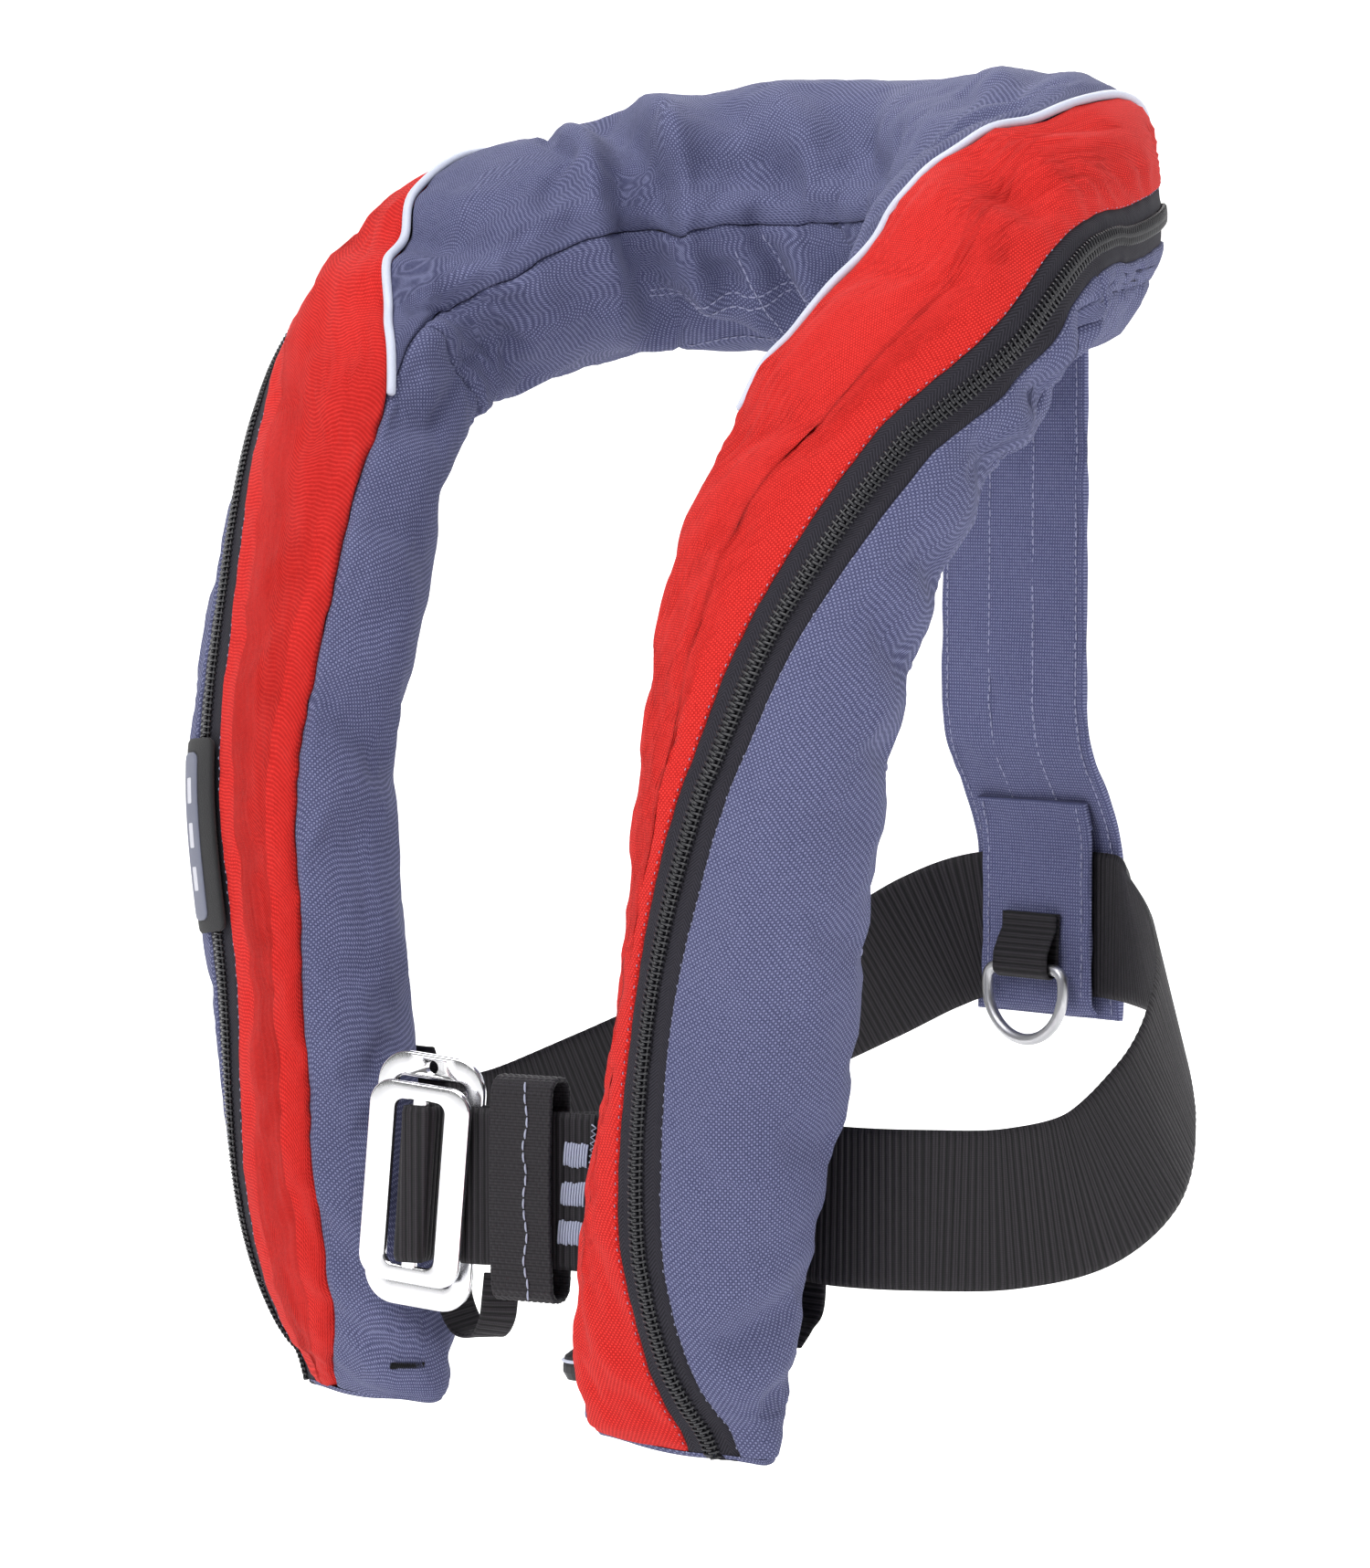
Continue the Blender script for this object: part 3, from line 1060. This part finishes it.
def build_tacks():
    """Three satin bar tacks and a zigzag seam where the belt's end is sewn down beside its keeper."""
    parts = []
    face_z, tall = 1.35 + BELT_THICK / MM / 2 + 0.12, 7.2
    for low in (-16.4, -4.0, 8.4):
        for k in range(9):
            x = 50.6 + k * 0.95
            y0, y1 = low + RNG.normal(0, 0.25), low + tall + RNG.normal(0, 0.25)
            t = np.linspace(0, 1, 9)
            path = [at_buckle(x, face_z + 0.35 * sin(pi * v) ** 0.5, y0 + (y1 - y0) * v) for v in t]
            parts.append(tube_mesh(path, 0.42 * MM, 6))
    zig = [at_buckle(60.0 + (0.8 if k % 2 else -0.8), face_z + 0.05, -22 + k * 1.0) for k in range(45)]
    parts.append(tube_mesh(zig, 0.26 * MM, 6))
    new_piece("belt_tacks", *join(parts), PALE_THREAD, "cover", "black_webbing")


KEEPER_AT, KEEPER_LOOP, KEEPER_WIDTH = 38, (70, 11), 22


def rounded_loop(size, radius, per_corner=8):
    """Points round a rectangle with round corners."""
    points = []
    for k, (sx, sy) in enumerate(((1, 1), (-1, 1), (-1, -1), (1, -1))):
        cx, cy = sx * (size[0] / 2 - radius), sy * (size[1] / 2 - radius)
        for j in range(per_corner + 1):
            a = radians(90) * (k + j / per_corner)
            points.append((cx + radius * cos(a), cy + radius * sin(a)))
    return points


def beads(s, t):
    """Rows of round knuckles, each row half a step along from the last."""
    row, pitch = 1.9 * MM, 2.2 * MM
    along = np.abs(np.sin(pi * s / row))
    across = np.abs(np.sin(pi * (t / pitch + 0.5 * np.floor(s / row))))
    return 0.5 * MM * (np.sqrt(along * across) - 0.6)


def build_keeper():
    """The keeper, which bulges over the belt's two layers, with a row of stitches down its front."""
    turn, centre = np.array(LEVEL.to_3x3()), at_buckle(KEEPER_AT, 0)
    thick, corner, count = 1.6 * MM, 4.2, 60

    def place(x, y, z):
        bulge = 1 + 0.32 * max(0.0, cos(pi * y / KEEPER_LOOP[0]))
        return centre + turn @ (np.array((x, y, z * bulge)) * MM)

    round_it = rounded_loop(KEEPER_LOOP, corner) + [(35, 1.3)]
    path = [place(0, y, z) for y, z in resample(round_it, 1.0)[0]]
    ribbon("new_keeper_loop", path, turn[:, 0], KEEPER_WIDTH * MM, thick, BEADED, "keeper", "black_webbing",
           ("keeper_loop",), closed=True, step=0.32 * MM, n_across=64, texture=beads)
    t = np.linspace(-KEEPER_LOOP[0] / 2 + 2, KEEPER_LOOP[0] / 2 - 2, count)
    line = [place(2.2 + 0.5 * np.sin(y * 0.35), y, KEEPER_LOOP[1] / 2) + turn[:, 2] * 1.15 * MM for y in t]
    row = stitches(np.array(line), np.broadcast_to(turn[:, 2], (count, 3)), 3.6 * MM, stitch_shape(3.0 * MM, 0.7 * MM))
    new_piece("keeper_stitches", *row, PALE_THREAD, "keeper", "black_webbing")


def build_belt_loops():
    """The webbing that holds the belt to the body side of each lobe."""
    for name, side in (("belt_loop_left", 1), ("belt_loop_right", -1)):
        x, lobe = side * 86, -166.6
        knots = [(x, lobe + 3.4, -232), (x, lobe + 5.5, -237), (x, lobe + 9.4, -243), (x, lobe + 9.8, -268),
                 (x, lobe + 9.6, -298), (x, lobe + 4, -306), (x, lobe - 1.0, -311)]
        ribbon("new_" + name, smooth_path(np.array(knots) * MM), (1, 0, 0), 34 * MM, 1.5 * MM, WEBBING, "cover",
               "black_webbing", (name,))


# ---- Buckle
def rolled_frame(outer, inner, corner_out, corner_in, thick, edge):
    """A flat ring of metal between two round-cornered rectangles, its edges rolled over."""
    per_corner = 10
    out_loop = np.array(rounded_loop(outer, corner_out, per_corner))
    in_loop = np.array(rounded_loop(inner, corner_in, per_corner))
    rings = []
    h = thick / 2
    shrink = np.array(rounded_loop((outer[0] - 2 * edge, outer[1] - 2 * edge), corner_out - edge, per_corner))
    grow = np.array(rounded_loop((inner[0] + 2 * edge, inner[1] + 2 * edge), corner_in + edge, per_corner))
    quarter = np.linspace(0, pi / 2, 5)
    for flat, rim, angles in ((shrink, out_loop, quarter), (grow, in_loop, quarter[::-1])):
        for a in angles:
            rings.append(np.column_stack([flat + (rim - flat) * cos(a), np.full(len(flat), h - edge + edge * sin(a))]))
    rings += [r * (1, 1, -1) for r in rings[::-1]]
    points = np.array(rings)
    r, c = points.shape[:2]
    return points.reshape(-1, 3), grid_faces(r, c, close_rows=True, close_cols=True)


def flat_bar(size, thick, edge):
    """A straight bar along Y with rolled edges."""
    section = rounded_loop((size[0], thick), edge, 4)
    points = np.array([[(x, y, z) for x, z in section] for y in np.linspace(-size[1] / 2, size[1] / 2, 10)])
    return points.reshape(-1, 3), capped_faces(*points.shape[:2], flip=True)


def metal_piece(name, parts, shift, body, node):
    """A polished piece of the buckle, from parts in its own flat frame."""
    points, faces = join(parts)
    turned = np.array([BUCKLE @ (Vector(p) * MM + Vector(shift) * MM) for p in points])
    piece = new_piece(name, turned, faces, POLISHED, body, "polished_steel", None, (node,))
    bm = bmesh.new()
    bm.from_mesh(piece.data)
    bmesh.ops.recalc_face_normals(bm, faces=bm.faces)
    bm.to_mesh(piece.data)
    bm.free()
    piece.data.set_sharp_from_angle(angle=radians(50))
    return piece


def build_buckle():
    """The frame with its small round hole, and the plate with its bar."""
    frame_part = rolled_frame(FRAME_SIZE, FRAME_WINDOW, 11, 3, METAL, 0.9)
    piece = metal_piece("new_buckle_frame", [frame_part], (0, 0, 0), "frame", "buckle_frame")
    radius, height = (v * MM for v in FRAME_HOLE)
    hole = bpy.data.meshes.new("hole")
    bm = bmesh.new()
    bmesh.ops.create_cone(bm, cap_ends=True, segments=32, radius1=radius, radius2=radius, depth=8 * MM,
                          matrix=BUCKLE @ Matrix.Translation((0, height, 0)))
    bm.to_mesh(hole)
    bm.free()
    cutter = bpy.data.objects.new("hole", hole)
    bpy.context.scene.collection.objects.link(cutter)
    cut = piece.modifiers.new("hole", "BOOLEAN")
    cut.object, cut.solver = cutter, "EXACT"
    bpy.context.view_layer.update()
    done = bpy.data.meshes.new_from_object(piece.evaluated_get(bpy.context.evaluated_depsgraph_get()))
    piece.modifiers.clear()
    piece.data = done
    bpy.data.objects.remove(cutter, do_unlink=True)
    window = (PLATE_BAR + 2 * PLATE_SLOT[0], PLATE_SLOT[1])
    plate = rolled_frame(PLATE_SIZE, window, 8, 3, METAL, 0.8)
    bar = flat_bar((PLATE_BAR, window[1] + 1.5), METAL, 0.8)
    metal_piece("new_buckle_plate", [plate, bar], (0, 0, PLATE_FORWARD), "plate", "buckle_plate")


# ---- Back strap, tunnel and ring
# Middle lines in mm, as (y, z).
STRAP_LINE = ((43.6, 24), (44.3, 5), (44.5, -12))
STRAP_FOOT = ((44.5, -125), (48, -141), (57, -157), (62.8, -171), (64, -185), (64, -205), (64, -233))
TUNNEL_LINE = ((53.4, -158), (56.6, -170), (57, -185), (57, -205), (57, -224), (58, -229), (60.6, -231))


def in_plane(points):
    return smooth_path(np.array([(0, y, z) for y, z in points]) * MM)


def crumple(seed, size, scale=30.0):
    """Soft lumps in mm for a ribbon of cloth, with a dip along its outer rows of stitches."""
    def relief(s, t):
        dip = 0.25 * MM * np.exp(-((np.abs(t) - 30 * MM) / (1.0 * MM)) ** 2)
        return wave_noise(s, t, seed, 3, scale) * size * MM - dip
    return relief


def rows_on_ribbon(made, offsets, side, lift, bag, low, high):
    """Rows of stitches along one side of a ribbon, from low to high share of its length."""
    _, p, s, wide, face = made
    keep = (s >= low * s[-1]) & (s <= high * s[-1])
    for off in offsets:
        line = p[keep] + wide[keep] * off + face[keep] * side * lift
        bag.append(stitches(line, face[keep] * side))


def build_back_strap():
    """The back strap, the tunnel's flap on it with a turned hem, and their stitches."""
    line = np.vstack([in_plane(STRAP_LINE), in_plane(STRAP_FOOT)])
    strap = ribbon("new_back_strap", line, (1, 0, 0), 66 * MM, 3.0 * MM, STRAP_CLOTH, "cover", "slate_fabric",
                   ("back_strap",), step=1.6 * MM, n_across=60, texture=crumple(31, 0.5))
    flap = ribbon("new_belt_tunnel", in_plane(TUNNEL_LINE), (1, 0, 0), 50 * MM, 2.2 * MM, STRAP_CLOTH, "cover",
                  "slate_fabric", ("belt_tunnel",), step=1.2 * MM, n_across=50, texture=crumple(37, 0.35, 45.0))
    bag = []
    for side in (1, -1):
        rows_on_ribbon(strap, (-29.5 * MM, -10 * MM, 10 * MM, 29.5 * MM), side, 1.62 * MM, bag, 0.02, 0.99)
        rows_on_ribbon(flap, (-21.5 * MM, 21.5 * MM), side, 1.25 * MM, bag, 0.03, 0.9)
    _, p, s, wide, face = flap
    sign = 1 if face[5][1] > 0 else -1
    t = np.linspace(-22, 22, 60)[:, None] * MM
    for share in (0.045, 0.1, 0.86):
        k = int(share * (len(p) - 1))
        bag.append(stitches(p[k] + wide[k] * t + face[k] * sign * 1.3 * MM, np.broadcast_to(face[k] * sign, (60, 3))))
    k = int(0.075 * (len(p) - 1))
    centre = p[k] + face[k] * sign * 1.45 * MM
    zig = [centre + wide[k] * x * MM + np.array((0, 0, 1.1 if i % 2 else -1.1)) * MM
           for i, x in enumerate(np.arange(-12, 12.1, 0.55))]
    bag.append(tube_mesh(zig, 0.3 * MM, 6))
    new_piece("strap_stitches", *join(bag), THREAD, "cover", "slate_fabric")
    hem = [p[j] + face[j] * sign * 0.9 * MM for j in range(0, int(0.13 * len(p)) + 1)]
    ribbon("tunnel_hem", np.array(hem), (1, 0, 0), 50.5 * MM, 1.6 * MM, STRAP_CLOTH, "cover", "slate_fabric", (),
           step=1.0 * MM, n_across=40, texture=crumple(41, 0.3, 60.0))


# The ring in mm: (y, z) of its bar, its wire, the bar's length, the corners, its height and its straight sides.
RING_AT, RING_WIRE, RING_BAR, RING_CORNER, RING_DROP, RING_SIDE = (51.0, -216), 4.0, 26, 4.5, 25, 7


def build_ring():
    """A D-shaped ring of round wire in its loop of webbing, which is sewn to the tunnel."""
    y, z = RING_AT
    h = RING_BAR / 2
    points = [(x, y, z) for x in np.linspace(-h, h, 14)]
    points += [(h + RING_CORNER * sin(a), y, z - RING_CORNER * (1 - cos(a))) for a in np.linspace(0.2, pi / 2, 8)]
    wide, deep = h + RING_CORNER, RING_DROP - RING_SIDE
    points += [(wide * cos(a), y, z - RING_SIDE - deep * sin(a)) for a in np.linspace(0, pi, 60)]
    points += [(-h - RING_CORNER * sin(a), y, z - RING_CORNER * (1 - cos(a))) for a in np.linspace(pi / 2, 0.2, 8)]
    path = np.array(points) * MM
    for _ in range(3):
        path = 0.5 * path + 0.25 * (np.roll(path, 1, 0) + np.roll(path, -1, 0))
    ring = tube_mesh(path, RING_WIRE / 2 * MM, 20, closed=True, up=(0, 1, 0))
    new_piece("new_harness_ring", *ring, SATIN, "ring", "satin_steel", None, ("harness_ring",))
    gap = RING_WIRE / 2 + 0.3 + 0.7
    loop = [(0, 54.9, -197), (0, 54.6, -203), (0, y + gap, z + 4)]
    loop += [(0, y + gap * cos(a), z - gap * sin(a)) for a in np.linspace(0, pi, 25)]
    loop += [(0, y - gap + 0.3, z + 5), (0, y - 0.2, z + 10), (0, 53.0, -202.5), (0, 53.2, -197)]
    ribbon("new_ring_webbing", np.array(loop) * MM, (1, 0, 0), 25 * MM, 1.2 * MM, WEBBING, "cover",
           "black_webbing", ("ring_webbing",), step=0.3 * MM, rib=0.18 * MM)
    t = np.linspace(-11, 11, 40)[:, None] * MM
    bag = []
    for up in (-199.3, -201.5):
        base = np.array((0, 55.6 * MM, up * MM))
        bag.append(stitches(base + t * (1, 0, 0), np.broadcast_to((0, 1.0, 0), (40, 3)), 3.0 * MM))
    new_piece("ring_stitches", *join(bag), THREAD, "cover", "black_webbing")


# ---- Small trim
def patch(name, u0, u1, low, high, rise, thick, mat, slot, node, corner=3 * MM, count=(60, 26)):
    """A thin patch that lies on the cover beside the zip, with round corners."""
    rows, cols = count
    v, w = np.linspace(0, 1, rows)[:, None], np.linspace(0, 1, cols)[None]
    length = np.linalg.norm(skin(u1, zip_at(u1)) - skin(u0, zip_at(u0)))
    from_end = np.minimum(v, 1 - v) * length
    pull = np.where(from_end < corner, corner - np.sqrt(np.clip(corner ** 2 - (corner - from_end) ** 2, 0, None)), 0)
    u = u0 + (u1 - u0) * v + 0 * w
    off = (low + pull) + (high - low - 2 * pull) * w
    angle = zip_at(u, off)
    p = skin(u, angle)
    n = unit(p - skin(u, angle, 1 * MM))
    edge = np.minimum(np.minimum(w, 1 - w) * (high - low), from_end)
    round_off = -0.35 * MM * np.exp(-edge / (0.4 * MM))
    top = p + n * (rise + thick + round_off)[..., None]
    low_side = p + n * rise
    both = np.concatenate([top, low_side[:, ::-1]], axis=1)
    cloth = cloth_grid(v * length, np.concatenate([w, w[:, ::-1]], axis=1) * (high - low))
    new_piece(name, both, capped_faces(rows, 2 * cols), mat, "cover", slot, cloth, (node,) if node else ())


def build_tabs():
    """The hook tape tab over the zip, the rubber label on it, and three plain marks."""
    u0, u1 = LAST - 4.15, LAST - 3.3
    patch("new_burst_tab", u0, u1, -9 * MM, 12 * MM, 1.2 * MM, 1.1 * MM, VELCRO, "black_webbing", "burst_tab")
    patch("new_label_patch", u0 + 0.06, u1 - 0.06, 0.0, 10.5 * MM, 2.3 * MM, 0.8 * MM, LABEL, "label_rubber",
          "label_patch")
    for k in range(3):
        low = u0 + 0.16 + k * 0.19
        patch(f"label_mark_{k}", low, low + 0.12, 3.0 * MM, 7.5 * MM, 3.05 * MM, 0.2 * MM, LABEL_PALE, "label_rubber",
              None, 1.2 * MM, (14, 8))


def build_leg_loop():
    """The small loop of webbing under the buckle."""
    y = -189
    knots = [(x, y + dy, z) for x, dy, z in (
        (-35, 1.5, -299), (-33, 1.5, -309), (-28, 1.0, -316), (-22, 0, -318.5), (-14, -1.5, -317.5),
        (-9, -2.5, -312), (-7, -3, -304), (-6, -3, -297))]
    ribbon("new_leg_strap_loop", smooth_path(np.array(knots) * MM), (0.5, 0.8, 0), 12 * MM, 1.4 * MM, WEBBING, "cover",
           "black_webbing", ("leg_strap_loop",), step=0.35 * MM, rib=0.2 * MM)


def paint_cad_nodes():
    """Materials for the CAD pieces that are kept, and a pale ring round the pull's knob."""
    looks = {"zip_slider": SATIN, "slider_bridge": SATIN, "slider_pull": SATIN, "lanyard_eyelet": SATIN,
             "gas_cylinder": ZINC, "bladder": BLADDER, "inflator_body": BLACK, "pull_knob": BLACK,
             "pull_lanyard": BLACK, "oral_tube": BLACK, "inflator_cap": YELLOW, "firing_lever": YELLOW,
             "oral_tube_cap": YELLOW, "whistle": YELLOW}
    for node, mat in looks.items():
        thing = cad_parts[node]
        if not thing.material_slots:
            thing.data.materials.append(mat)
        for slot in thing.material_slots:
            slot.link = "OBJECT"
            slot.material = mat
    low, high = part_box("pull_knob")
    centre, radius, drop, count = (low + high) / 2, 6.1 * MM, 3.4 * MM, 40
    a = np.linspace(0, tau, count, endpoint=False)
    rim = np.stack([centre.x + radius * np.cos(a), centre.y + radius * np.sin(a), 0 * a + high.z - drop], axis=1)
    new_piece("knob_rim", *tube_mesh(rim, 0.55 * MM, 8, closed=True), PIPING, "pull", "black_plastic")


build_belt()
build_tacks()
build_keeper()
build_belt_loops()
build_buckle()
build_back_strap()
build_ring()
build_tabs()
build_leg_loop()
paint_cad_nodes()


# ---- Stage
FLOOR_DROP, FLOOR_REACH, CURVE_FROM, CURVE_RADIUS, WALL_TOP = 0.16, 30, 2.6, 1.2, 5.0
# Lights: turn from the camera and height in degrees, distance, size, power.
LIGHTS = (("key", -38, 42, 1.9, 1.5, 24), ("fill", 62, 18, 2.1, 1.6, 9), ("top", 10, 84, 1.7, 1.3, 14),
          ("rim", 175, 35, 2.0, 1.4, 10))


def build_floor():
    """A pale floor that curves up into a wall behind the object, a little darker under it."""
    floor_z = CAD_BOX[0].z - FLOOR_DROP
    profile = [(-FLOOR_REACH, 0), (CURVE_FROM, 0)]
    profile += [(CURVE_FROM + CURVE_RADIUS * sin(a), CURVE_RADIUS - CURVE_RADIUS * cos(a))
                for a in np.linspace(0.1, pi / 2, 10)] + [(CURVE_FROM + CURVE_RADIUS, WALL_TOP)]
    turn = Matrix.Rotation(AZIMUTH, 3, "Z")
    points, faces = [], []
    for k, (y, z) in enumerate(profile):
        for x in (-FLOOR_REACH, FLOOR_REACH):
            points.append(turn @ Vector((x, y, 0)) + Vector((0, 0, floor_z + z)))
        if k:
            faces.append((2 * k - 2, 2 * k - 1, 2 * k + 1, 2 * k))
    mesh = bpy.data.meshes.new("floor")
    mesh.from_pydata([tuple(p) for p in points], [], faces)
    mesh.shade_smooth()
    n = Nodes("floor", 0.9, Emission_Color=(1, 1, 1, 1))
    away = n.tree.nodes.new("ShaderNodeVectorMath")
    away.operation = "LENGTH"
    n.put(away, 0, n.place())
    n.put(n.shader, "Emission Strength", n.span(away.outputs["Value"], 0.55, 0.9, 0.15, 0.72))
    mesh.materials.append(n.done(n.mix(n.noise(3.0), (0.93, 0.93, 0.93), (0.9, 0.9, 0.9))))
    floor = bpy.data.objects.new("floor", mesh)
    bpy.context.scene.collection.objects.link(floor)


def build_lights():
    world = bpy.data.worlds.new("studio")
    world.use_nodes = True
    sky = world.node_tree.nodes["Background"]
    sky.inputs["Color"].default_value, sky.inputs["Strength"].default_value = (1, 1, 1, 1), 0.2
    bpy.context.scene.world = world
    bpy.context.scene.view_settings.view_transform = "Standard"
    for name, turn_by, high, far, size, power in LIGHTS:
        data = bpy.data.lights.new(name, "AREA")
        data.shape, data.size, data.energy = "DISK", size, power
        light = bpy.data.objects.new(name, data)
        a, e = AZIMUTH + radians(turn_by), radians(high)
        away = Vector((sin(a) * cos(e), -cos(a) * cos(e), sin(e)))
        light.location = TARGET + away * far
        light.rotation_euler = away.to_track_quat("Z", "Y").to_euler()
        bpy.context.scene.collection.objects.link(light)


build_floor()
build_lights()
